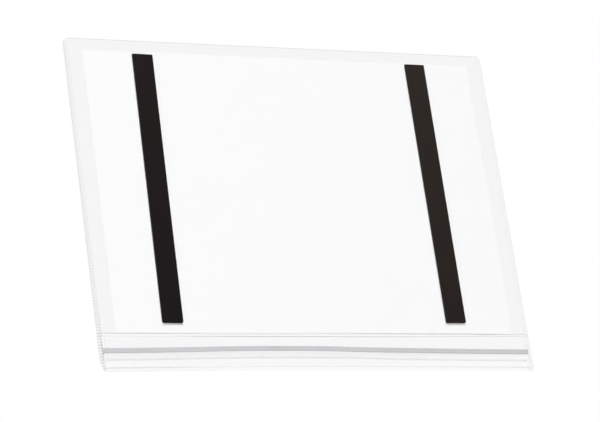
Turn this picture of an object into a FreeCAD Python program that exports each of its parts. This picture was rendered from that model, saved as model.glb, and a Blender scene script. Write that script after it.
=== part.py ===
import FreeCAD, Part
import math
import os

# A clear A4 landscape document pouch that lies on its front face with its back up.
# X runs along the mouth, Y from the closure to the closed top, and Z out of the back.
# The origin is the middle of the front face. All sizes are in millimetres.

Vector = FreeCAD.Vector

# The sheet that the pouch is made for, and the room around it
sheet_width = 297.0
sheet_height = 210.0
sheet_thickness = 0.2
sheet_clearance = 0.3
sheet_offset = 0.5
side_room = 13.0
top_room = 8.5

# Film, and the outline of the pouch
film_thickness = 0.3
closure_height = 27.0
top_left_radius = 1.5
top_right_radius = 3.0
bottom_right_radius = 2.2
bottom_left_radius = 5.0

# Side welds: a thick inner bead beside a thin ribbed border
weld_width = 3.2
bead_width = 0.8
rib_pitch = 2.1
rib_depth = 0.12

# Closure: two crease lines, a flap, and the hood that the flap is tucked into
crease_spacing = 1.8
crease_gap = 0.1
flap_length = 17.4
flap_side_gap = 1.5
hood_lip_depth = 15.7
hood_flange = 2.5
hood_clearance = 0.3
hood_side_rise = 1.0
closure_bow = 4.8
lip_width = 3.5
lip_thickness = 0.5

# Magnetic strips on their adhesive tape, put on by hand: each has its own place and its own turn
strip_width = 15.0
strip_thickness = 1.4
strip_shortfall = 10.0
left_strip_side_distance = 48.2
left_strip_foot_distance = 7.3
left_strip_turn_degrees = -0.69
right_strip_side_distance = 48.7
right_strip_foot_distance = 8.3
right_strip_turn_degrees = -0.12
strip_foot_radius = 1.3
strip_head_radius = 0.4
tape_thickness = 0.15
tape_inset = 0.5

# Levels through the thickness, counted up from the front face
front_top = film_thickness
sheet_bottom = front_top + sheet_clearance
sheet_top = sheet_bottom + sheet_thickness
back_bottom = sheet_top + sheet_clearance
back_top = back_bottom + film_thickness
fold_radius = back_top / 2
weld_thickness = 2 * film_thickness

# Places along X and Y
half_width = sheet_width / 2 + side_room
half_height = (closure_height + sheet_height + top_room) / 2
upper_crease_y = closure_height - half_height
lower_crease_y = upper_crease_y - crease_spacing
flap_edge_y = lower_crease_y - flap_length
inner_half_width = half_width - weld_width
flap_half_width = inner_half_width - flap_side_gap
hood_half_width = inner_half_width - hood_side_rise
hood_lip_y = hood_lip_depth - half_height
hood_crease_y = hood_flange - half_height
hood_knee_y = flap_edge_y - hood_clearance
strip_length = sheet_height - strip_shortfall


def block(x_limits, y_limits, z_limits):
    low = Vector(x_limits[0], y_limits[0], z_limits[0])
    size = Vector(x_limits[1], y_limits[1], z_limits[1]) - low
    return Part.makeBox(size.x, size.y, size.z, low)


def closed_wire(points):
    return Part.makePolygon(points + points[:1])


def rounded_plate(x_limits, y_limits, z_limits, radii):
    """A flat plate; radii are its corners at the lower left, lower right, upper right and upper left."""
    left, right = x_limits
    low, high = y_limits
    corners = ((left, low), (right, low), (right, high), (left, high))
    ways = (Vector(0, -1, 0), Vector(1, 0, 0), Vector(0, 1, 0), Vector(-1, 0, 0), Vector(0, -1, 0))
    arcs = []
    for (x, y), radius, arriving, leaving in zip(corners, radii, ways, ways[1:]):
        corner = Vector(x, y, z_limits[0])
        middle = corner + (leaving - arriving) * radius * (1 - math.sqrt(0.5))
        arc = Part.Arc(corner - arriving * radius, middle, corner + leaving * radius)
        arcs.append(arc.toShape())
    sides = []
    for arc, following in zip(arcs, arcs[1:] + arcs[:1]):
        sides.append(Part.makeLine(arc.Vertexes[-1].Point, following.Vertexes[0].Point))
    outline = Part.Wire(Part.__sortEdges__(arcs + sides))
    return Part.Face(outline).extrude(Vector(0, 0, z_limits[1] - z_limits[0]))


def trimmed(shape):
    """What lies inside the pouch's rounded outline."""
    radii = (bottom_left_radius, bottom_right_radius, top_right_radius, top_left_radius)
    outline = rounded_plate((-half_width, half_width), (-half_height, half_height), (0, back_top), radii)
    return shape.common(outline).Solids[0]


def arc_or_line(half_span, y, z, bow):
    """An edge along X that rises by bow at mid span."""
    start, end = Vector(-half_span, y, z), Vector(half_span, y, z)
    if bow == 0:
        return Part.makeLine(start, end)
    return Part.Arc(start, Vector(0, y, z + bow), end).toShape()


def bowed_section(half_span, y, z, thickness, bow):
    """The closed outline, across Y, of a strip that is arched along X."""
    low = arc_or_line(half_span, y, z, bow)
    high = arc_or_line(half_span, y, z + thickness, bow)
    right = Part.makeLine(Vector(half_span, y, z), Vector(half_span, y, z + thickness))
    left = Part.makeLine(Vector(-half_span, y, z + thickness), Vector(-half_span, y, z))
    return Part.Wire(Part.__sortEdges__([low, right, high, left]))


def hood_section(y, rise, bow):
    """The hood across Y: it leaves the welds at the level of the back and steps up over the flap."""
    levels = (back_bottom, back_top)
    edges = []
    for z in levels:
        edges.append(arc_or_line(hood_half_width, y, z + rise, bow))
        for side in (-1, 1):
            foot = Vector(side * inner_half_width, y, z)
            edges.append(Part.makeLine(foot, Vector(side * hood_half_width, y, z + rise)))
    for side in (-1, 1):
        x = side * inner_half_width
        edges.append(Part.makeLine(Vector(x, y, levels[0]), Vector(x, y, levels[1])))
    return Part.Wire(Part.__sortEdges__(edges))


def fold_ring(centre_y, side):
    """Half a tube of film along X that joins the front to the back, open towards the pocket."""
    axis_start = Vector(-inner_half_width, centre_y, fold_radius)
    length = 2 * inner_half_width
    along = Vector(1, 0, 0)
    ring = Part.makeCylinder(fold_radius, length, axis_start, along)
    ring = ring.cut(Part.makeCylinder(fold_radius - film_thickness, length, axis_start, along))
    keep = sorted((centre_y, centre_y + side * fold_radius))
    return ring.common(block((-inner_half_width, inner_half_width), keep, (0, back_top)))


def front_panel():
    ends = (fold_radius - half_height, half_height - fold_radius)
    return trimmed(block((-inner_half_width, inner_half_width), ends, (0, front_top)))


def back_panel():
    ends = (upper_crease_y, half_height - fold_radius)
    return block((-inner_half_width, inner_half_width), ends, (back_bottom, back_top))


def top_fold():
    return trimmed(fold_ring(half_height - fold_radius, 1))


def bottom_fold():
    """The film turns up here and lies flat as far as the hood's crease."""
    ring = fold_ring(fold_radius - half_height, -1)
    ends = (fold_radius - half_height, hood_crease_y)
    flange = block((-inner_half_width, inner_half_width), ends, (back_bottom, back_top))
    return trimmed(ring.fuse(flange).removeSplitter())


def ribbed_border():
    """The thin outer part of the right weld, with shallow ribs across it."""
    x = inner_half_width + bead_width
    count = int(2 * half_height / rib_pitch)
    pitch = 2 * half_height / count
    crests = [Vector(x, -half_height, 0), Vector(x, -half_height, weld_thickness)]
    for rib in range(count):
        start = rib * pitch - half_height
        crests.append(Vector(x, start + pitch / 2, weld_thickness - rib_depth))
        crests.append(Vector(x, start + pitch, weld_thickness))
    crests.append(Vector(x, half_height, 0))
    return Part.Face(closed_wire(crests)).extrude(Vector(half_width - x, 0, 0))


def side_weld(side):
    """Both films melted together along one edge of the pouch; side is -1 on the left and 1 on the right."""
    x_limits = (inner_half_width, inner_half_width + bead_width)
    bead = block(x_limits, (-half_height, half_height), (0, back_top))
    weld = bead.fuse(ribbed_border())
    if side < 0:
        weld = weld.mirror(Vector(0, 0, 0), Vector(1, 0, 0))
    return trimmed(weld)


def crease_spine():
    """The narrow strip between the two crease lines."""
    ends = (lower_crease_y, upper_crease_y - crease_gap)
    return block((-flap_half_width, flap_half_width), ends, (back_bottom, back_top))


def closing_flap():
    """It hangs from the lower crease and is tucked under the hood, which its free edge bows out."""
    root = bowed_section(flap_half_width, lower_crease_y - crease_gap, back_bottom, film_thickness, 0)
    edge = bowed_section(flap_half_width, flap_edge_y, back_bottom, film_thickness, closure_bow)
    return Part.makeLoft([root, edge], True, True)


def retaining_hood():
    rise = film_thickness + hood_clearance
    stations = ((hood_lip_y, rise, closure_bow), (hood_knee_y, rise, closure_bow), (hood_crease_y, 0, 0))
    sections = [hood_section(y, section_rise, bow) for y, section_rise, bow in stations]
    return Part.makeLoft(sections, True, True)


def hood_lip():
    """A stiffening strip on the outside of the hood's free edge."""
    z = back_top + film_thickness + hood_clearance
    ends = (hood_lip_y, hood_lip_y - lip_width)
    sections = [bowed_section(hood_half_width, y, z, lip_thickness, closure_bow) for y in ends]
    return Part.makeLoft(sections, True, True)


def insert_sheet():
    ends = (upper_crease_y, upper_crease_y + sheet_height)
    x_limits = (sheet_offset - sheet_width / 2, sheet_offset + sheet_width / 2)
    return block(x_limits, ends, (sheet_bottom, sheet_top))


def strip_place(side):
    """The middle of one strip's place on the back, and how far the strip is turned about it."""
    side_distance, foot_distance = left_strip_side_distance, left_strip_foot_distance
    degrees = left_strip_turn_degrees
    if side > 0:
        side_distance, foot_distance = right_strip_side_distance, right_strip_foot_distance
        degrees = right_strip_turn_degrees
    x = side * (half_width - side_distance - strip_width / 2)
    return Vector(x, upper_crease_y + foot_distance + strip_length / 2, back_top), degrees


def put_on_back(shape, side):
    """A piece made round the origin, taken to its strip's place on the back and turned there."""
    middle, degrees = strip_place(side)
    shape.rotate(Vector(0, 0, 0), Vector(0, 0, 1), degrees)
    shape.translate(middle)
    return shape


def adhesive_tape(side):
    reach_x, reach_y = strip_width / 2 - tape_inset, strip_length / 2 - tape_inset
    return put_on_back(block((-reach_x, reach_x), (-reach_y, reach_y), (0, tape_thickness)), side)


def magnetic_strip(side):
    reach_x, reach_y = strip_width / 2, strip_length / 2
    z_limits = (tape_thickness, tape_thickness + strip_thickness)
    radii = (strip_foot_radius, strip_foot_radius, strip_head_radius, strip_head_radius)
    return put_on_back(rounded_plate((-reach_x, reach_x), (-reach_y, reach_y), z_limits, radii), side)


def build():
    parts = {
        "front_panel": front_panel(),
        "back_panel": back_panel(),
        "top_fold": top_fold(),
        "bottom_fold": bottom_fold(),
        "crease_spine": crease_spine(),
        "closing_flap": closing_flap(),
        "retaining_hood": retaining_hood(),
        "hood_lip": hood_lip(),
        "insert_sheet": insert_sheet(),
    }
    for side, word in ((-1, "left"), (1, "right")):
        parts[word + "_weld"] = side_weld(side)
        parts[word + "_adhesive_tape"] = adhesive_tape(side)
        parts[word + "_magnetic_strip"] = magnetic_strip(side)
    return parts


os.makedirs("parts", exist_ok=True)
for name, shape in build().items():
    assert shape.isValid() and shape.Volume > 0, name
    shape.exportStep(os.path.join("parts", name + ".step"))
    box = shape.BoundBox
    print(f"{name}: {box.XLength:.2f} x {box.YLength:.2f} x {box.ZLength:.2f}, {shape.Volume:.1f} mm3")
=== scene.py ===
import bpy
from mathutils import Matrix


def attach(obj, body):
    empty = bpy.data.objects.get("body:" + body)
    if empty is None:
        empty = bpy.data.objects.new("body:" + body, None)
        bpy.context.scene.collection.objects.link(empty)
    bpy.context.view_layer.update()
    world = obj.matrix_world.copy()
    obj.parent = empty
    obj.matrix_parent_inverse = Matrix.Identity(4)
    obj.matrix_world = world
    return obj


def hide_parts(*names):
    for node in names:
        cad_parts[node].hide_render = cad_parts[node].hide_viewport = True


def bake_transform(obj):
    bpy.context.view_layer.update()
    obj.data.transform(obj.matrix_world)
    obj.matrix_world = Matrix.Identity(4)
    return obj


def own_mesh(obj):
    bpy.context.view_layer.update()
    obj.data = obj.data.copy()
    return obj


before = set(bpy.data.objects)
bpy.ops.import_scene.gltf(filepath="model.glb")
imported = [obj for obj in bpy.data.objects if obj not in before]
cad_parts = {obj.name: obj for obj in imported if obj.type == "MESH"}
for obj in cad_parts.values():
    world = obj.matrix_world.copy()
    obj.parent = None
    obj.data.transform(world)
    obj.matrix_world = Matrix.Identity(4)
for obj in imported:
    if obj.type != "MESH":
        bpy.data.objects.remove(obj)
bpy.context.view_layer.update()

import math

import bpy
import numpy as np
from mathutils import Matrix, Vector

# A clear document pouch that lies on its front face with its back up. X runs along its mouth, Y from
# the closure to the closed top, and Z out of the back. Lengths are in millimetres, and are made metres
# where Blender takes them.
MM = 0.001

# Sizes that the solids have too
HALF_WIDTH, HALF_HEIGHT, WELD_WIDTH = 161.5, 122.75, 3.2
INNER_HALF_WIDTH, FLAP_HALF_WIDTH, HOOD_HALF_WIDTH = 158.3, 156.8, 157.3
FILM, BACK_LOW, BACK_TOP, FOLD_RADIUS = 0.3, 1.1, 1.4, 0.7
UPPER_CREASE, LOWER_CREASE, FLAP_EDGE = -95.75, -97.55, -114.95
HOOD_LIP, HOOD_KNEE, HOOD_CREASE = -107.05, -115.25, -120.25
LIP_WIDTH, LIP_THICKNESS, CLOSURE_BOW = 3.5, 0.5, 4.8
SHEET_LEFT, SHEET_RIGHT, SHEET_HIGH = -148.0, 149.0, 114.25
SHEET_BOTTOM, SHEET_TOP = 0.6, 0.8
STRIP_FOOT, STRIP_TOP, STRIP_RADII = 1.55, 2.95, (1.3, 1.3, 0.4, 0.4)
RIBS, RIB_DEPTH = 117, 0.12

# Places and sizes that are followed more finely here than in the solids
SHEET_LOW, BACK_LENGTH = -95.5, 217.35
CREASE_REACH, CREASE_HALF_WIDTH = 0.4, 158.15
UPPER_CLIMB, LOWER_CLIMB = 0.35, 0.65
EDGE_PULL, EDGE_DRIFT, FLAP_DRIFT = 0.92, 0.6, -0.6
BOW_PEAK, BOW_PARABOLA, HOOD_RISE = -35.0, 0.2, 0.6
LIP_LEFT, LIP_RIGHT, LIP_STRETCH_START = -159.0, 158.2, 156.5

# Each strip's middle in X and Y, its turn in degrees, its half width and its half length
STRIPS = {
    "left": (-105.8, 11.65, -0.69, 7.5, 100.1),
    "right": (105.38, 12.77, -0.12, 7.65, 100.22),
}
# How far each rounded corner reaches in from the side edge, and how far along it
CORNERS = {
    "left low": (4.6, 12.2),
    "right low": (3.2, 3.2),
    "left high": (4.5, 4.5),
    "right high": (4.0, 4.0),
}

# Mesh density: stations along X and along Y, and the angle past which an edge is shaded sharp
PANEL_COLUMNS, CREASE_COLUMNS, PANEL_ROWS, HOOD_ROWS = 121, 101, 91, 41
SHARP_ANGLE = 38


# Mesh making: every piece is a few grids of points, joined where their points meet

def eased(value):
    """Zero below 0, one above 1, and 3 t squared minus 2 t cubed between them."""
    t = np.clip(value, 0.0, 1.0)
    return t * t * (3 - 2 * t)


def rising(value, start, end):
    """Zero before the start, one after the end, and eased between them."""
    return eased((value - start) / (end - start))


def falling(value, start, end):
    """One before the start, zero after the end, and eased between them."""
    return 1 - rising(value, start, end)


def bump_at(value, centre, reach):
    """A smooth hump: one at the centre, zero at the reach on both sides."""
    return eased(1 - np.abs(value - centre) / reach)


def rounded(depth):
    """A quarter of a circle: zero at an edge, and one at a depth of 1 and beyond."""
    return np.sqrt(1 - np.clip(1 - depth, 0, 1) ** 2)


def grid(x, y, z, press_and_shading=0.0):
    """Points of one surface; the fourth number is the strength of its marks: pressed marks in the film,
    painted shade on some folds, welds and edges, and a painted reflection on the strips' side walls.
    """
    return np.stack(np.broadcast_arrays(x, y, z, press_and_shading), axis=-1).astype(float)


def quads(points, finish=0, flip=False):
    """A grid of points as four-cornered faces that look along the product of its two directions."""
    rows, columns = points.shape[:2]
    index = np.arange(rows * columns).reshape(rows, columns)
    around = (index[:-1, :-1], index[1:, :-1], index[1:, 1:], index[:-1, 1:])
    corners = np.stack(around, axis=-1).reshape(-1, 4)
    if flip:
        corners = corners[:, ::-1]
    return points.reshape(-1, 4), corners, np.full(len(corners), finish)


def sheet_quads(low, high, edges=(0, 0, 0, 0)):
    """A closed sheet between two surfaces. Edges are the finishes of its four walls: at the start and
    the end of its first direction, and at the start and the end of its second."""
    first_start, first_end, second_start, second_end = edges
    walls = [
        quads(np.stack((low[0], high[0])), first_start),
        quads(np.stack((low[-1], high[-1])), first_end, flip=True),
        quads(np.stack((low[:, 0], high[:, 0])), second_start, flip=True),
        quads(np.stack((low[:, -1], high[:, -1])), second_end),
    ]
    return [quads(high), quads(low, flip=True)] + walls


def joined(patches):
    """All patches as one, with the points merged that coincide to a ten-thousandth of a millimetre."""
    starts = np.cumsum([0] + [len(points) for points, _, _ in patches])
    points = np.concatenate([points for points, _, _ in patches])
    corners = np.concatenate([corners + start for (_, corners, _), start in zip(patches, starts)])
    finishes = np.concatenate([finish for _, _, finish in patches])
    places = np.round(points[:, :3], 4)
    _, first, merged = np.unique(places, axis=0, return_index=True, return_inverse=True)
    return points[first], merged.reshape(-1)[corners], finishes


def whole_faces(corners, finishes):
    """Whole quads, then triangles from the quads with one collapsed side. The others are dropped."""
    collapsed = corners == np.roll(corners, -1, axis=1)
    whole = ~collapsed.any(axis=1)
    folded = collapsed.sum(axis=1) == 1
    start = np.argmax(collapsed[folded], axis=1)
    around = (start[:, None] + np.array([1, 2, 3])) % 4
    triangles = np.take_along_axis(corners[folded], around, axis=1)
    faces = corners[whole].tolist() + triangles.tolist()
    return faces, np.concatenate((finishes[whole], finishes[folded]))


def make_mesh(name, patches, sharp_angle=SHARP_ANGLE):
    """A smooth mesh of the patches, in metres. Its attribute "press" is the points' fourth number."""
    points, corners, finishes = joined(patches)
    faces, finishes = whole_faces(corners, finishes)
    mesh = bpy.data.meshes.new(name)
    mesh.from_pydata((points[:, :3] * MM).tolist(), [], faces)
    mesh.polygons.foreach_set("material_index", finishes.astype(np.int32))
    mesh.polygons.foreach_set("use_smooth", np.ones(len(faces), bool))
    press_and_shading = mesh.attributes.new("press_and_shading", "FLOAT", "POINT")
    press_and_shading.data.foreach_set("value", points[:, 3].astype(np.float32))
    mesh.update()
    mesh.set_sharp_from_angle(angle=math.radians(sharp_angle))
    return mesh


def make_piece(name, patches, finishes, body, slot, node=None, sharp_angle=SHARP_ANGLE):
    """One piece of the pouch, which rides on its body and stands for its solid. Clear film casts no
    shadow, and neither film nor strip shows in bounced light."""
    piece = bpy.data.objects.new(name, make_mesh(name, patches, sharp_angle))
    bpy.context.scene.collection.objects.link(piece)
    for finish in finishes:
        piece.data.materials.append(finish)
    if body:
        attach(piece, body)
    if node:
        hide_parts(node)
    piece.visible_shadow = slot not in ("film", "weld")
    piece.visible_diffuse = slot not in ("film", "weld", "strip")
    return piece


# Tools for finishes. A Mix node has several sockets of one name, so its colour sockets are known by
# their numbers.
MIX_SHARE, MIX_FIRST, MIX_SECOND, MIX_COLOUR = 0, 6, 7, 2


def fill(socket, value):
    """Gives a node's input a fixed value, or links it to another node's output."""
    if isinstance(value, bpy.types.NodeSocket):
        socket.id_data.links.new(value, socket)
    else:
        socket.default_value = value


def fill_inputs(node, **values):
    """Fills several inputs by their names, where an underscore stands for a space."""
    for name, value in values.items():
        fill(node.inputs[name.replace("_", " ")], value)


def node_group(name, inputs, outputs):
    """An empty shader node group with number inputs and named outputs."""
    group = bpy.data.node_groups.new(name, "ShaderNodeTree")
    for socket, value in inputs:
        made = group.interface.new_socket(socket, in_out="INPUT", socket_type="NodeSocketFloat")
        made.default_value = value
    for socket in outputs:
        group.interface.new_socket(socket, in_out="OUTPUT", socket_type="NodeSocketFloat")
    return group, group.nodes.new("NodeGroupInput").outputs, group.nodes.new("NodeGroupOutput")


def placed(tree, group, **values):
    """The outputs of a node group that is placed in a material with its own values."""
    node = tree.nodes.new("ShaderNodeGroup")
    node.node_tree = group
    fill_inputs(node, **values)
    return node.outputs


def maths(tree, operation, *values, clamped=False):
    """One Math node, perhaps clamped to 0 to 1; a value is a number or another node's output."""
    node = tree.nodes.new("ShaderNodeMath")
    node.operation = operation
    node.use_clamp = clamped
    for socket, value in zip(node.inputs, values):
        fill(socket, value)
    return node.outputs[0]


def ranged(tree, share, low, high):
    """A number that runs from low to high as the share runs from 0 to 1."""
    return maths(tree, "MULTIPLY_ADD", share, high - low, low)


def mixed(tree, share, first, second):
    """A colour between two colours."""
    node = tree.nodes.new("ShaderNodeMix")
    node.data_type = "RGBA"
    fill(node.inputs[MIX_SHARE], share)
    fill(node.inputs[MIX_FIRST], first)
    fill(node.inputs[MIX_SECOND], second)
    return node.outputs[MIX_COLOUR]


def noise(tree, scale, detail):
    """A cloud of values between 0 and 1 that stays with its piece, with so many lumps to the metre."""
    node = tree.nodes.new("ShaderNodeTexNoise")
    place = tree.nodes.new("ShaderNodeTexCoord").outputs["Object"]
    fill_inputs(node, Vector=place, Scale=scale, Detail=detail)
    return node.outputs["Fac"]


def mesh_mark(tree):
    """The strength of the marks, from the mesh: pressed marks, painted shade and painted reflection."""
    press_and_shading = tree.nodes.new("ShaderNodeAttribute")
    press_and_shading.attribute_name = "press_and_shading"
    return press_and_shading.outputs["Fac"]


def seen_directly(tree):
    """One for what the camera sees, also in a mirror or through a clear thing, and zero for light that
    falls on a surface."""
    path = tree.nodes.new("ShaderNodeLightPath").outputs
    direct = maths(tree, "ADD", path["Is Camera Ray"], path["Is Glossy Ray"])
    return maths(tree, "ADD", direct, path["Is Transmission Ray"], clamped=True)


def new_finish(name):
    """A material with an empty Principled shader, ready for its nodes."""
    made = bpy.data.materials.new(name)
    made.use_nodes = True
    return made, made.node_tree, made.node_tree.nodes["Principled BSDF"]


def bumped(tree, shader, height, distance):
    """Relief from a height between 0 and 1, as deep as the distance in metres."""
    bump = tree.nodes.new("ShaderNodeBump")
    fill_inputs(bump, Height=height, Distance=distance, Strength=1.0)
    fill_inputs(shader, Normal=bump.outputs["Normal"])


# Finishes

def grain_group():
    """Fine speckle for moulded and coated surfaces: one noise for height and a slower one for tone."""
    group, given, out = node_group(
        "fine_grain", [("Fine Scale", 2500.0), ("Slow Scale", 60.0)], ["Height", "Tone"]
    )
    fill_inputs(
        out,
        Height=noise(group, given["Fine Scale"], detail=3.0),
        Tone=noise(group, given["Slow Scale"], detail=3.0),
    )
    return group


def handling_group():
    """Traces of handling on film: slow waves for height, and smears, which are a squared noise."""
    group, given, out = node_group(
        "film_handling", [("Wave Scale", 14.0), ("Smear Scale", 45.0)], ["Height", "Smear"]
    )
    smear = noise(group, given["Smear Scale"], detail=5.0)
    fill_inputs(
        out,
        Height=noise(group, given["Wave Scale"], detail=1.0),
        Smear=maths(group, "POWER", smear, 2.0),
    )
    return group


FILM_METALLIC, FILM_IOR, SMEAR_ROUGHNESS, WAVE_DEPTH = 0.6, 1.45, 0.12, 0.0004
# The darker tone of film at its marks, pressed marks and painted shade alike.
MARKED_TONE = (0.36, 0.36, 0.37, 1)


def film_finish(
    name, handling, veil, tone, marked_veil=0.55, marked_tone=MARKED_TONE, roughness=0.1, sheen=1.1
):
    """Clear glossy film. It covers what lies behind it by a thin veil, more by Fresnel's share of the
    sheen as it turns edge-on, and more again, in a darker tone, where the mesh marks it: where it is
    pressed, and where painted shade is laid on it. A face seen from behind covers nothing."""
    made, tree, shader = new_finish(name)
    marks, pressed = placed(tree, handling), mesh_mark(tree)
    fresnel = tree.nodes.new("ShaderNodeFresnel")
    fresnel.inputs["IOR"].default_value = FILM_IOR
    behind = tree.nodes.new("ShaderNodeNewGeometry").outputs["Backfacing"]
    cover = maths(tree, "MULTIPLY_ADD", fresnel.outputs[0], sheen, veil)
    cover = maths(tree, "MULTIPLY_ADD", pressed, marked_veil, cover)
    fill_inputs(
        shader,
        Base_Color=mixed(tree, pressed, tone, marked_tone),
        Metallic=FILM_METALLIC,
        Roughness=ranged(tree, marks["Smear"], roughness, roughness + SMEAR_ROUGHNESS),
        Alpha=maths(tree, "MULTIPLY", cover, maths(tree, "SUBTRACT", 1.0, behind), clamped=True),
    )
    bumped(tree, shader, marks["Height"], WAVE_DEPTH)
    return made


def join_finish():
    """Where two pieces of the one film web meet there is nothing to see."""
    made, _, shader = new_finish("film_join")
    fill_inputs(shader, Base_Color=(0.95, 0.96, 0.97, 1), Alpha=0.0)
    return made


def lip_finish(grain):
    """Frosted plastic, a little see-through. For shadows and bounced light it is nearly clear."""
    made, tree, shader = new_finish("frosted_lip")
    marks = placed(tree, grain, Fine_Scale=1800.0, Slow_Scale=90.0)
    path = tree.nodes.new("ShaderNodeLightPath").outputs
    soft = maths(tree, "MAXIMUM", path["Is Shadow Ray"], path["Is Diffuse Ray"])
    fill_inputs(
        shader,
        Base_Color=mixed(tree, marks["Tone"], (0.53, 0.53, 0.552, 1), (0.62, 0.62, 0.642, 1)),
        Roughness=ranged(tree, marks["Tone"], 0.3, 0.42),
        Alpha=ranged(tree, soft, 0.86, 0.16),
    )
    bumped(tree, shader, marks["Height"], 0.00004)
    return made


def paper_finish(grain):
    """White paper with a faint cloudiness and a fine tooth."""
    made, tree, shader = new_finish("blank_paper")
    marks = placed(tree, grain, Fine_Scale=1400.0, Slow_Scale=240.0)
    fill_inputs(
        shader,
        Base_Color=mixed(tree, marks["Tone"], (0.952, 0.952, 0.952, 1), (0.982, 0.982, 0.982, 1)),
        Roughness=ranged(tree, marks["Height"], 0.75, 0.9),
        Specular_IOR_Level=0.2,
    )
    bumped(tree, shader, marks["Height"], 0.00003)
    return made


def strip_finish(name, grain, deep, light):
    """Dull black rubber, cloudy between two blacks, with a painted sheen that makes it lighter towards
    the head. Its side walls are a paler black, a painted reflection."""
    made, tree, shader = new_finish(name)
    marks = placed(tree, grain, Fine_Scale=3000.0, Slow_Scale=35.0)
    place = tree.nodes.new("ShaderNodeSeparateXYZ")
    fill_inputs(place, Vector=tree.nodes.new("ShaderNodeTexCoord").outputs["Object"])
    # Painted sheen: the black grows lighter towards the strip's head, mixed with the random cloud.
    cloud_and_sheen = maths(tree, "MULTIPLY_ADD", place.outputs["Y"], 3.0, 0.25)
    cloud_and_sheen = maths(tree, "MULTIPLY_ADD", marks["Tone"], 0.5, cloud_and_sheen, clamped=True)
    # The side walls' paler black is a painted reflection.
    face, wall = mixed(tree, cloud_and_sheen, deep, light), (0.022, 0.019, 0.018, 1)
    fill_inputs(
        shader,
        Base_Color=mixed(tree, mesh_mark(tree), face, wall),
        Roughness=ranged(tree, marks["Height"], 0.36, 0.56),
        Specular_IOR_Level=0.1,
    )
    bumped(tree, shader, marks["Height"], 0.00002)
    return made


def tape_finish(grain):
    """Milky adhesive tape."""
    made, tree, shader = new_finish("adhesive_tape")
    marks = placed(tree, grain, Fine_Scale=1200.0, Slow_Scale=200.0)
    fill_inputs(
        shader,
        Base_Color=mixed(tree, marks["Tone"], (0.68, 0.68, 0.64, 1), (0.8, 0.8, 0.77, 1)),
        Roughness=ranged(tree, marks["Height"], 0.5, 0.7),
    )
    return made


def ground_finish():
    """A pale floor that looks white where nothing shades it, and keeps the shade that the pouch throws.
    It is clear when it is seen from below."""
    made, tree, shader = new_finish("pale_ground")
    tone = 0.12
    fill_inputs(
        shader,
        Base_Color=(tone, tone, tone, 1),
        Roughness=1.0,
        Specular_IOR_Level=0.0,
        Emission_Color=(1, 1, 1, 1),
        Emission_Strength=maths(tree, "MULTIPLY", seen_directly(tree), 1 - tone),
    )
    clear = tree.nodes.new("ShaderNodeBsdfTransparent")
    choice = tree.nodes.new("ShaderNodeMixShader")
    share, above, below = choice.inputs
    fill(share, tree.nodes.new("ShaderNodeNewGeometry").outputs["Backfacing"])
    fill(above, shader.outputs[0])
    fill(below, clear.outputs[0])
    fill(tree.nodes["Material Output"].inputs["Surface"], choice.outputs[0])
    return made


handling, grain = handling_group(), grain_group()
clear_film = film_finish("clear_film", handling, veil=0.105, tone=(0.655, 0.66, 0.665, 1))
# Cut edges are a denser, darker film: painted shade that stands in for the light a film's edge bends
# away.
cut_edge = film_finish(
    "film_cut_edge", handling, veil=0.42, marked_veil=0.3, tone=(0.42, 0.42, 0.43, 1), roughness=0.25
)
ribbed_film = film_finish(
    "ribbed_weld", handling, veil=0.27, marked_veil=0.4, tone=(0.66, 0.665, 0.67, 1),
    marked_tone=(0.4, 0.4, 0.41, 1), roughness=0.22, sheen=0.3,
)
film_join = join_finish()
frosted_lip, blank_paper = lip_finish(grain), paper_finish(grain)
# The strips are one black rubber. The right strip's black is a lit copy, painted lighter than the left
# strip's shaded copy.
left_shaded_black = strip_finish(
    "left_strip_shaded_black", grain, deep=(0.0031, 0.0021, 0.0027, 1), light=(0.0105, 0.0065, 0.0064, 1)
)
right_lit_black = strip_finish(
    "right_strip_lit_black", grain, deep=(0.0098, 0.0066, 0.0049, 1), light=(0.0213, 0.0158, 0.0134, 1)
)
adhesive = tape_finish(grain)
# The flap's and the hood's films are lit copies of the clear film: painted paler, to make up for the
# light that their tilted faces and the layers under them miss. The spine and the bottom fold take the
# hood's film too.
flap_lit_film = film_finish("flap_film", handling, veil=0.11, tone=(0.78, 0.785, 0.79, 1))
hood_lit_film = film_finish("hood_film", handling, veil=0.075, tone=(0.94, 0.945, 0.95, 1))

# A film piece has three finishes: its own for the faces, one for joins and one for cut edges
JOIN, CUT = 1, 2
ALL_JOINED = (JOIN, JOIN, JOIN, JOIN)
PANEL_FINISHES = (clear_film, film_join, cut_edge)
FLAP_FINISHES = (flap_lit_film, film_join, cut_edge)
HOOD_FINISHES = (hood_lit_film, film_join, cut_edge)


# The film web. The strength of its marks runs from 0, for plain film, to 1, and a spread is how far a
# mark reaches on each side of its line.
BESIDE_FLAP_STRENGTH = 0.2
BACK_EDGE_STRENGTH, BACK_EDGE_SPREAD = 0.35, 0.6
FLAP_EDGE_STRENGTH, FLAP_EDGE_SHIFT, FLAP_EDGE_SPREAD = 0.5, 0.5, 1.2
HOOD_CREASE_STRENGTH, HOOD_CREASE_FADE, HOOD_CREASE_SPREAD = 0.75, 0.4, 0.6
# The bottom fold's faint mark, and the painted shade that swells where the fold faces out
BOTTOM_FOLD_STRENGTH, BOTTOM_FOLD_SWELL = 0.05, 0.05
LEFT_END_DARKENING, LEFT_END_FLAP_SHARE = 0.12, 0.5
# The top fold's marks of painted shade: strength, place and spread, in degrees round the fold. The
# negative one paints it lighter where it faces out.
TOP_FOLD_MARKS = ((0.85, 76, 42), (-0.25, 0, 60))
FOLD_STEPS, FLANGE_STEPS = 19, 5
HOOD_EASED, HOOD_STEP_WIDTH = 0.25, 0.7


def pulled(x):
    """How far the closure draws the bottom edge in: a parabola that is zero at the corners."""
    return EDGE_PULL * (1 - (x / HALF_WIDTH) ** 2)


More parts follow.
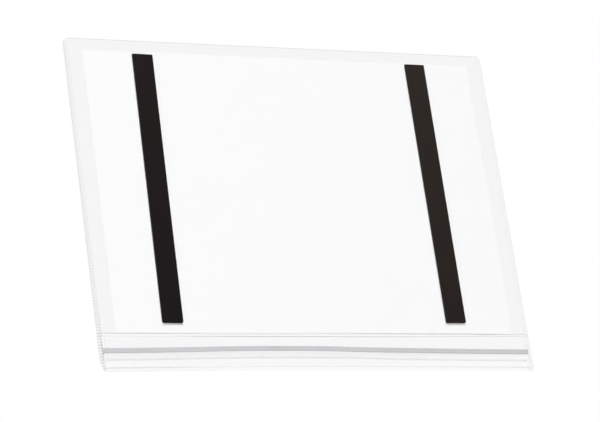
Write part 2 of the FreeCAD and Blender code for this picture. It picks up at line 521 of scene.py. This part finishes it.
def corner_inset(distance, inward, along):
    """How far a corner, a quarter of an ellipse, stands in from an edge at a distance along it."""
    return inward * (1 - rounded(distance / along))


def closure_bow(x, half_span):
    """The closure's arch across the pouch: zero at its ends and one at its peak, which stands left of
    the middle. Mostly a squared cosine, with a share of a parabola that keeps the film up beside the
    welds."""
    reach = np.where(x < BOW_PEAK, half_span + BOW_PEAK, half_span - BOW_PEAK)
    swell = np.cos(0.5 * math.pi * np.clip((x - BOW_PEAK) / reach, -1, 1)) ** 2
    parabola = 1 - np.clip(x / half_span, -1, 1) ** 2
    return (1 - BOW_PARABOLA) * swell + BOW_PARABOLA * parabola


def drift(x):
    """How far the hood's free edge stands towards the head: on the left half, fading past the middle."""
    return EDGE_DRIFT * falling(x, -10, 40)


def upper_bow(x):
    """How far the upper crease stands towards the head: it climbs left of the middle and comes back
    near the right end."""
    return UPPER_CLIMB * rising(x, -40, 5) * falling(x, 110, 145)


def lower_bow(x):
    """The same for the lower crease, which climbs slowly as far as the right end."""
    return LOWER_CLIMB * rising(x, 20, 160)


def left_end_darkening(x):
    """How much darker the closure's film is towards its left end."""
    return LEFT_END_DARKENING * falling(x, -115, -55)


def hood_crease_mark(x):
    """The mark of the hood's crease, which is fainter where the hood rises steeply from it."""
    return HOOD_CREASE_STRENGTH - HOOD_CREASE_FADE * closure_bow(x, HOOD_HALF_WIDTH)


def across(half_span, count, ends=()):
    """Stations along X, with extra ones at the given distances from both ends."""
    inner = np.linspace(-half_span, half_span, count)
    extra = np.array(ends)
    return np.unique(np.concatenate((inner, half_span - extra, extra - half_span)))


def front_panel():
    """A flat sheet whose lower edge follows the pull of the closure. It is marked beside the flap."""
    x = across(INNER_HALF_WIDTH, PANEL_COLUMNS)[:, None]
    low_edge, high_edge = FOLD_RADIUS - HALF_HEIGHT + pulled(x), HALF_HEIGHT - FOLD_RADIUS
    y = low_edge + np.linspace(0, 1, PANEL_ROWS)[None, :] * (high_edge - low_edge)
    beside_flap = rising(np.abs(x), FLAP_HALF_WIDTH - 0.2, FLAP_HALF_WIDTH + 0.1)
    press_and_shading = BESIDE_FLAP_STRENGTH * beside_flap * falling(y, UPPER_CREASE - 2, UPPER_CREASE)
    patches = sheet_quads(grid(x, y, 0.0, press_and_shading), grid(x, y, FILM, press_and_shading), ALL_JOINED)
    make_piece("front_film", patches, PANEL_FINISHES, "pouch", "film", "front_panel")


def back_panel():
    """A flat sheet, pressed a little along its lower edge, which follows the upper crease."""
    x = across(INNER_HALF_WIDTH, PANEL_COLUMNS)[:, None]
    low_edge = UPPER_CREASE + CREASE_REACH
    from_edge = np.concatenate((np.linspace(0, 1.2, 7), np.linspace(3, BACK_LENGTH, PANEL_ROWS)))
    y = low_edge + from_edge[None, :]
    press_and_shading = BACK_EDGE_STRENGTH * bump_at(y, low_edge, BACK_EDGE_SPREAD)
    y = y + upper_bow(x) * falling(y, UPPER_CREASE, UPPER_CREASE + 3)
    low, high = grid(x, y, BACK_LOW, press_and_shading), grid(x, y, BACK_TOP, press_and_shading)
    patches = sheet_quads(low, high, (CUT, JOIN, JOIN, JOIN))
    make_piece("back_film", patches, PANEL_FINISHES, "pouch", "film", "back_panel")


def outline_reach(x, end):
    """How far the pouch's outline reaches along Y, between its two rounded corners at the low or the
    high end."""
    insets = []
    for half, word in ((-1, "left"), (1, "right")):
        inward, along = CORNERS[word + " " + end]
        insets.append(corner_inset(HALF_WIDTH - half * x, along, inward))
    return HALF_HEIGHT - np.maximum(*insets)


def folded_film(side, flange):
    """Film turned through half a circle about a line along X, and then flat for the length of the
    flange. The top fold carries painted shade where it comes round onto the back, and is painted lighter
    where it faces straight out. The bottom fold carries a faint mark with a painted shade that swells
    where it faces out, and is marked at the hood's crease."""
    x = across(INNER_HALF_WIDTH, PANEL_COLUMNS, (0.4, 0.8, 1.2, 1.6))[:, None]
    turn = np.linspace(-90, 90, FOLD_STEPS)
    flat = np.linspace(flange / FLANGE_STEPS, flange, FLANGE_STEPS) if flange else np.zeros(0)
    degrees = np.concatenate((turn, np.full(len(flat), 90.0)))[None, :]
    run = np.concatenate((np.zeros(len(turn)), flat))[None, :]
    angle = np.radians(degrees)
    if side > 0:
        shift, limit = 0.0, outline_reach(x, "high")
        # Painted shade where the fold comes round onto the back, and painted lighter where it faces out.
        press_and_shading = sum(strength * bump_at(degrees, *span) for strength, *span in TOP_FOLD_MARKS)
    else:
        shift, limit = pulled(x), outline_reach(x, "low")
        # A faint mark, painted shade that swells where the fold faces out, and the darker left end.
        press_and_shading = BOTTOM_FOLD_STRENGTH + BOTTOM_FOLD_SWELL * np.cos(angle) ** 2 + left_end_darkening(x)
        press_and_shading = press_and_shading + hood_crease_mark(x) * bump_at(flange - run, 0, HOOD_CREASE_SPREAD)
    faces = []
    for radius in (FOLD_RADIUS - FILM, FOLD_RADIUS):
        y = side * (HALF_HEIGHT - FOLD_RADIUS + radius * np.cos(angle) - run) + shift
        y = side * np.minimum(side * y, limit)
        faces.append(grid(x, y, FOLD_RADIUS + radius * np.sin(angle), press_and_shading))
    return faces


def make_folds():
    """The top fold, which closes the pocket, and the bottom fold, which ends at the hood's crease."""
    inner, outer = folded_film(1, 0.0)
    patches = sheet_quads(outer, inner, ALL_JOINED)
    make_piece("top_fold_film", patches, PANEL_FINISHES, "pouch", "film", "top_fold")
    inner, outer = folded_film(-1, HALF_HEIGHT + HOOD_CREASE - FOLD_RADIUS)
    patches = sheet_quads(inner, outer, ALL_JOINED)
    make_piece("bottom_fold_film", patches, HOOD_FINISHES, "pouch", "film", "bottom_fold")


# Stations across a weld from the pocket outwards, closer together where its bead and its border end
WELD_STATIONS = (
    0, 0.12, 0.3, 0.5, 0.62, 0.72, 0.82, 0.92, 1.05, 1.25,
    1.5, 1.8, 2.1, 2.4, 2.6, 2.8, 2.95, 3.08, 3.16, WELD_WIDTH,
)
STEPS_PER_RIB = 8
BEAD_FLAT, BEAD_END, BORDER_START, BORDER_SLOPE, BORDER_END = 0.5, 0.95, 1.2, 2.75, 3.05
EDGE_DROP, MARK_DEPTH = 0.1, 0.08
SEAM_LINE, SEAM_SPREAD, RIM_LINE, RIM_SPREAD = 0.8, 0.9, 2.6, 0.6
FIELD_STRENGTH, BEAD_CLEARING, CREASE_MARK_STRENGTH = 0.4, 0.6, 0.4
PRESS_LOWEST, PRESS_HIGHEST = -0.3, 1


def ribbed(rib, between, on_rib):
    """A number that swings from its value between two ribs to its value on a rib."""
    return between + (on_rib - between) * rib


def side_weld(side, word, rib_strength, places, strengths):
    """Across: a rounded bead beside the pocket, then a thin border. Along: ribs, which are a cosine of
    one pitch, and pressed marks at the creases. The outer edge follows the pouch's rounded corners.
    Three things are marked: a seam line along the bead, with a strength that changes from place to place
    and is partly painted shade, a rim line along the border, and a plain field over both, which is
    clearer on the bead above the creases. Each is stronger on the ribs."""
    y = np.linspace(-HALF_HEIGHT, HALF_HEIGHT, RIBS * STEPS_PER_RIB + 1)
    inset = corner_inset(y + HALF_HEIGHT, *CORNERS[word + " low"])
    inset = inset + corner_inset(HALF_HEIGHT - y, *CORNERS[word + " high"])
    width = np.clip(WELD_WIDTH - inset, 0.0, None)[None, :]
    out = np.minimum(np.array(WELD_STATIONS)[:, None], width)
    rib = 0.5 + 0.5 * np.cos((y + HALF_HEIGHT) / (2 * HALF_HEIGHT) * RIBS * 2 * math.pi)[None, :]
    marks = (bump_at(y, UPPER_CREASE, 0.7) + 0.8 * bump_at(y, LOWER_CREASE, 0.6))[None, :]

    bead = falling(out, BEAD_FLAT, BEAD_END)
    on_border = rising(out, BEAD_END, BORDER_START) * falling(out, BORDER_SLOPE, BORDER_END)
    top = 2 * FILM - RIB_DEPTH * (1 - rib) * on_border - EDGE_DROP * rising(out, BORDER_END, WELD_WIDTH)
    top = top + (BACK_TOP - 2 * FILM) * bead - MARK_DEPTH * marks

    # Beside the closure the seam line's strength, given by the caller, paints dark dabs of shade where
    # the seam bends round the folds.
    seam_line_and_shade = bump_at(out, SEAM_LINE, SEAM_SPREAD) * np.interp(y, places, strengths)[None, :]
    rim_line = rib_strength * bump_at(out, RIM_LINE, RIM_SPREAD)
    field = FIELD_STRENGTH * rising(out, 0, 0.6) * falling(out, 2.8, WELD_WIDTH)
    field = field - BEAD_CLEARING * bead * rising(y, UPPER_CREASE, UPPER_CREASE + 20)[None, :]
    press_and_shading = seam_line_and_shade * ribbed(rib, 0.1, 1.5) + rim_line * ribbed(rib, -0.3, 1.6)
    press_and_shading = press_and_shading + rib_strength * field * ribbed(rib, 0.5, 1.5) + CREASE_MARK_STRENGTH * marks
    press_and_shading = np.clip(press_and_shading, PRESS_LOWEST, PRESS_HIGHEST)

    x = side * (INNER_HALF_WIDTH + out)
    low, high = grid(x, y[None, :], 0.0, press_and_shading), grid(x, y[None, :], top, press_and_shading)
    edges = (1, 0, 0, 0)
    if side < 0:
        low, high, edges = low[::-1], high[::-1], (0, 1, 0, 0)
    patches = sheet_quads(low, high, edges)
    make_piece(word + "_weld_seam", patches, (ribbed_film, clear_film), "pouch", "weld", word + "_weld")


# The closure

CREASE_MARK_SPREAD, RIDGE_BELOW, RIDGE_ABOVE = 0.38, 0.06, 0.05


def crease(name, y, bow, shift, places, strengths):
    """A pressed line across the film: a low rounded ridge over a narrow strip. The mark that it leaves
    in the film is stronger in some places than in others."""
    x = across(CREASE_HALF_WIDTH, CREASE_COLUMNS)[:, None]
    offset = np.linspace(-CREASE_REACH, CREASE_REACH, 13)[None, :]
    ridge = bump_at(offset, 0.0, CREASE_REACH)
    mark = bump_at(offset, shift, CREASE_MARK_SPREAD) * np.interp(x, places, strengths)
    low = grid(x, y + bow(x) + offset, BACK_LOW + RIDGE_BELOW * ridge, mark)
    high = grid(x, y + bow(x) + offset, BACK_TOP + RIDGE_ABOVE * ridge, mark)
    patches = sheet_quads(low, high, (CUT, CUT, JOIN, JOIN))
    piece = make_piece(name, patches, PANEL_FINISHES, None, "film")
    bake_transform(piece)


def crease_spine():
    """The flat strip between the two creases, which follows both."""
    x = across(CREASE_HALF_WIDTH, CREASE_COLUMNS)[:, None]
    low_edge = LOWER_CREASE + CREASE_REACH + lower_bow(x)
    high_edge = UPPER_CREASE - CREASE_REACH + upper_bow(x)
    y = low_edge + np.linspace(0, 1, 9)[None, :] * (high_edge - low_edge)
    patches = sheet_quads(grid(x, y, BACK_LOW), grid(x, y, BACK_TOP), (CUT, CUT, JOIN, JOIN))
    make_piece("spine_film", patches, HOOD_FINISHES, "spine", "film", "crease_spine")


def closing_flap():
    """Flat at its crease. The arch grows with the distance from the crease as far as the free edge,
    which carries a band of painted shade, and which stands lower on the right half."""
    x = across(FLAP_HALF_WIDTH, PANEL_COLUMNS)[:, None]
    edge_rows = FLAP_EDGE + np.linspace(0, 1.5, 11)
    other_rows = np.linspace(FLAP_EDGE + 2, LOWER_CREASE - CREASE_REACH, 27)
    y = np.concatenate((edge_rows, other_rows))[None, :]
    share = (LOWER_CREASE - y) / (LOWER_CREASE - FLAP_EDGE)
    rise = CLOSURE_BOW * closure_bow(x, FLAP_HALF_WIDTH) * share
    # A band of painted shade along the free edge.
    press_and_shading = FLAP_EDGE_STRENGTH * bump_at(y, FLAP_EDGE + FLAP_EDGE_SHIFT, FLAP_EDGE_SPREAD)
    press_and_shading = press_and_shading + LEFT_END_FLAP_SHARE * left_end_darkening(x)
    y = y + FLAP_DRIFT * rising(x, 20, 50) * share
    y = y + lower_bow(x) * rising(y, LOWER_CREASE - 4, LOWER_CREASE)
    low, high = grid(x, y, BACK_LOW + rise, press_and_shading), grid(x, y, BACK_TOP + rise, press_and_shading)
    patches = sheet_quads(low, high, (CUT, CUT, CUT, JOIN))
    piece = make_piece("flap_film", patches, FLAP_FINISHES, "flap", "film", "closing_flap", 60)
    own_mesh(piece)


def hood_height(x, y):
    """The hood's level over the back: it steps up beside the welds, arches across, and runs down to its
    own crease, mostly straight and with an eased share."""
    down = np.clip((y - HOOD_CREASE) / (HOOD_KNEE - HOOD_CREASE), 0, 1)
    down = (1 - HOOD_EASED) * down + HOOD_EASED * eased(down)
    step = falling(np.abs(x), INNER_HALF_WIDTH - HOOD_STEP_WIDTH, INNER_HALF_WIDTH)
    return down * (HOOD_RISE * step + CLOSURE_BOW * closure_bow(x, HOOD_HALF_WIDTH))


def retaining_hood():
    """A sheet at the hood's height. Its edge along the crease follows the pull of the closure, and its
    free edge follows its own drift."""
    x = across(INNER_HALF_WIDTH, PANEL_COLUMNS, (0.2, 0.4, 0.6, 0.8, 1.0, 1.5))[:, None]
    y = HOOD_CREASE + np.linspace(0, 1, HOOD_ROWS)[None, :] * (HOOD_LIP - HOOD_CREASE)
    height = hood_height(x, y)
    press_and_shading = hood_crease_mark(x) * bump_at(y, HOOD_CREASE, HOOD_CREASE_SPREAD) + left_end_darkening(x)
    lifted = rising(y, HOOD_CREASE, HOOD_KNEE)
    y = y + pulled(x) * (1 - lifted) + drift(x) * lifted
    low, high = grid(x, y, BACK_LOW + height, press_and_shading), grid(x, y, BACK_TOP + height, press_and_shading)
    patches = sheet_quads(low, high, (CUT, JOIN, JOIN, CUT))
    piece = make_piece("hood_film", patches, HOOD_FINISHES, "pouch", "film", "retaining_hood", 60)
    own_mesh(piece)


# The lip's profile, as shares of its width and of its thickness
LIP_STATIONS = (
    0, 0.02, 0.06, 0.12, 0.2, 0.3, 0.38, 0.44, 0.5,
    0.56, 0.62, 0.7, 0.8, 0.88, 0.94, 0.98, 1,
)
LIP_LOW_ROUND, LIP_HIGH_ROUND, LIP_EDGE_HEIGHT = 0.24, 0.12, 0.12
GROOVE_DEPTH, GROOVE_REACH = 0.3, 0.14
LIP_END_ROUND, LIP_SEAT = 0.4, 0.03


def hood_lip():
    """A thin moulded profile along the hood's free edge: rounded sides and a shallow middle groove. Its
    ends are drawn out to their own places."""
    x = across(HOOD_HALF_WIDTH, PANEL_COLUMNS, (0.04, 0.12, 0.25, 0.5))[:, None]
    before = (-HOOD_HALF_WIDTH, -LIP_STRETCH_START, LIP_STRETCH_START, HOOD_HALF_WIDTH)
    after = (LIP_LEFT, -LIP_STRETCH_START, LIP_STRETCH_START, LIP_RIGHT)
    x = np.interp(x, before, after)
    share = np.array(LIP_STATIONS)[None, :]
    y = HOOD_LIP - LIP_WIDTH + share * LIP_WIDTH + drift(x)
    base = BACK_TOP + LIP_SEAT + hood_height(x, HOOD_KNEE)
    side_round = rounded(np.minimum(share / LIP_LOW_ROUND, (1 - share) / LIP_HIGH_ROUND))
    end_round = rounded(np.minimum(x - LIP_LEFT, LIP_RIGHT - x) / LIP_END_ROUND)
    profile = LIP_EDGE_HEIGHT + (1 - LIP_EDGE_HEIGHT) * side_round * end_round
    profile = profile - GROOVE_DEPTH * bump_at(share, 0.5, GROOVE_REACH) * end_round
    patches = sheet_quads(grid(x, y, base), grid(x, y, base + LIP_THICKNESS * profile))
    piece = make_piece("hood_lip_profile", patches, (frosted_lip,), "pouch", "lip", "hood_lip", 50)
    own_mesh(piece)


# What the pouch holds, and what it hangs from

# The sheet's wave: its height, the lengths along X and Y that turn its sines by a radian, and its start
SHEET_WAVE, WAVE_ALONG_X, WAVE_ALONG_Y, WAVE_START = 0.05, 47.0, 38.0, 0.6


def insert_sheet():
    """A flat sheet with a slight wave, which is a product of two sines."""
    x = np.linspace(SHEET_LEFT, SHEET_RIGHT, PANEL_COLUMNS)[:, None]
    y = np.linspace(SHEET_LOW, SHEET_HIGH, PANEL_ROWS)[None, :]
    wave = SHEET_WAVE * np.sin(x / WAVE_ALONG_X + WAVE_START) * np.sin(y / WAVE_ALONG_Y)
    patches = sheet_quads(grid(x, y, SHEET_BOTTOM + wave), grid(x, y, SHEET_TOP + wave))
    make_piece("paper_sheet", patches, (blank_paper,), "sheet", "sheet", "insert_sheet")


def rounded_ring(half_x, half_y, radii, inset, per_corner=9, per_side=13):
    """A rounded rectangle drawn in by an inset: four corner arcs, and straight sides between them."""
    half_x, half_y = half_x - inset, half_y - inset
    arcs = []
    for side_x, side_y, radius, start in zip((-1, 1, 1, -1), (-1, -1, 1, 1), radii, (180, 270, 0, 90)):
        radius = max(radius - inset, 0.0)
        angle = np.radians(start + np.linspace(0, 90, per_corner))
        centre = np.array([side_x * (half_x - radius), side_y * (half_y - radius)])
        arcs.append(centre + radius * np.stack((np.cos(angle), np.sin(angle)), axis=-1))
    share = np.linspace(0, 1, per_side)[1:-1, None]
    ring = []
    for arc, following in zip(arcs, arcs[1:] + arcs[:1]):
        ring += [arc, arc[-1] * (1 - share) + following[0] * share]
    return np.concatenate(ring + [arcs[0][:1]])


STRIP_FOOT_ROUND, STRIP_TOP_ROUND, STRIP_WALL_END = 0.08, 0.22, 0.05


def magnetic_strip(word, finish):
    """A rounded outline carried up a profile: a small round at the foot, an upright side, a larger round
    at the top, and rings that close on the middle line. The whole is turned by the angle at which it was
    stuck on. Its side walls are marked in the mesh, and the finish paints them a paler black: a painted
    reflection."""
    middle_x, middle_y, turn, half_width, half_length = STRIPS[word]
    foot, top, bend = STRIP_FOOT, STRIP_TOP, STRIP_TOP_ROUND
    profile = [(inset, foot) for inset in (half_width, 4.0, 0.5, STRIP_FOOT_ROUND)]
    profile += [(0.0, foot + STRIP_FOOT_ROUND), (0.0, foot + 0.5), (0.0, top - 0.5)]
    for angle in np.radians([0, 25, 50, 75, 90]):
        profile.append((bend - bend * math.cos(angle), top - bend + bend * math.sin(angle)))
    profile += [(inset, top) for inset in (0.6, 1.5, 3.5, 5.5, half_width)]
    along, aside = math.cos(math.radians(turn)), math.sin(math.radians(turn))
    rings = []
    for inset, z in profile:
        ring = rounded_ring(half_width, half_length, STRIP_RADII, inset)
        x = middle_x + ring[:, 0] * along - ring[:, 1] * aside
        y = middle_y + ring[:, 0] * aside + ring[:, 1] * along
        # The side walls carry the mark for the painted reflection.
        on_wall = foot < z < top - STRIP_WALL_END
        rings.append(grid(x, y, z, float(on_wall)))
    patches = [quads(np.stack(rings), flip=True)]
    make_piece(word + "_magnet_band", patches, (finish,), "pouch", "strip", word + "_magnetic_strip", 30)


front_panel()
back_panel()
make_folds()
# Each weld's seam line is strongest beside the closure: dark dabs of painted shade where the seam bends
# round the folds. Away from there the line is the weld's own.
side_weld(
    -1, "left", rib_strength=0.5,
    places=(-123, -117, -112.5, -111, -108.5, -106, -103, -100, -60, 40, 122),
    strengths=(0.25, 0.35, 0.7, 0.95, 0.5, 1.0, 0.5, 0.3, 0.18, 0.0, 0.0),
)
side_weld(
    1, "right", rib_strength=0.14,
    places=(-123, -112, -108.5, -105.5, -103, -100, 122),
    strengths=(0.15, 0.2, 0.6, 0.7, 0.15, 0.02, 0.0),
)
crease(
    "upper_crease_line", UPPER_CREASE, upper_bow, shift=0.08,
    places=(-157, -125, -100, -80, -15, 14, 44, 115, 135, 158),
    strengths=(1.0, 1.2, 0.95, 0.7, 0.75, 0.9, 1.35, 1.5, 1.3, 0.8),
)
crease_spine()
crease(
    "lower_crease_line", LOWER_CREASE, lower_bow, shift=-0.1,
    places=(-157, -112, -88, -70, 0, 60, 110, 145),
    strengths=(0.35, 0.35, 1.1, 1.3, 1.3, 1.1, 0.8, 0.6),
)
closing_flap()
retaining_hood()
hood_lip()
insert_sheet()
magnetic_strip("left", left_shaded_black)
magnetic_strip("right", right_lit_black)
for word in ("left", "right"):
    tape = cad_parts[word + "_adhesive_tape"]
    tape.data.materials.clear()
    tape.data.materials.append(adhesive)


# Ground, light and camera. The lamps' places and sizes, and the camera's place, are in metres.

GROUND_REACH, GROUND_LEVEL = 4000, -0.08
SKY_AS_LIGHT = 0.3
LENS, SENSOR_WIDTH = 170.16, 36.0
CAMERA_PLACE = (-0.78016, -0.72283, 1.67168)
# The pouch's X and Y directions in the picture: to the right, down, and away from the camera
X_IN_PICTURE = (0.91901, 0.02026, 0.39371)
Y_IN_PICTURE = (-0.13532, -0.92179, 0.3633)


def make_ground():
    """A wide level square just under the pouch, which lets light through to the pouch's underside."""
    reach = np.linspace(-GROUND_REACH, GROUND_REACH, 9)
    patch = quads(grid(reach[:, None], reach[None, :], GROUND_LEVEL))
    ground = bpy.data.objects.new("ground", make_mesh("ground", [patch]))
    bpy.context.scene.collection.objects.link(ground)
    ground.data.materials.append(ground_finish())
    ground.visible_diffuse, ground.visible_shadow = False, False


def soft_light(name, place, size, power):
    """A square lamp that looks at the middle of the pouch, and is not mirrored in the film."""
    data = bpy.data.lights.new(name, "AREA")
    data.shape, data.size, data.energy = "SQUARE", size, power
    lamp = bpy.data.objects.new(name, data)
    bpy.context.scene.collection.objects.link(lamp)
    lamp.location = place
    lamp.rotation_mode = "QUATERNION"
    lamp.rotation_quaternion = (-Vector(place)).to_track_quat("-Z", "Y")
    lamp.visible_glossy = False


def make_world():
    """An even pale sky: white where it is seen, dimmer as a light."""
    world = bpy.data.worlds.new("pale_room")
    bpy.context.scene.world = world
    world.use_nodes = True
    tree = world.node_tree
    strength = ranged(tree, seen_directly(tree), SKY_AS_LIGHT, 1.0)
    fill_inputs(tree.nodes["Background"], Color=(1, 1, 1, 1), Strength=strength)


def make_camera():
    """The photograph's view: the pouch's own directions point where they do in the picture."""
    along = Vector(X_IN_PICTURE).normalized()
    up = Vector(Y_IN_PICTURE)
    up = (up - along * up.dot(along)).normalized()
    right, down, away = Matrix((along, up, along.cross(up))).transposed()
    turn = Matrix((right, -down, -away)).transposed()
    data = bpy.data.cameras.new("view")
    data.sensor_width, data.lens = SENSOR_WIDTH, LENS
    data.clip_start, data.clip_end = 0.05, 50.0
    camera = bpy.data.objects.new("view", data)
    bpy.context.scene.collection.objects.link(camera)
    camera.matrix_world = Matrix.Translation(CAMERA_PLACE) @ turn.to_4x4()
    bpy.context.scene.camera = camera


make_ground()
soft_light("key_light", place=(-1.5, 3.6, 6.9), size=2.4, power=379.0)
soft_light("side_light", place=(-4.6, -0.2, 4.2), size=3.2, power=63.0)
soft_light("front_light", place=(-0.9, -4.6, 4.0), size=3.0, power=80.0)
soft_light("under_light", place=(-0.6, 0.9, -5.9), size=3.0, power=150.0)
make_world()
make_camera()
bpy.context.scene.view_settings.view_transform = "Standard"
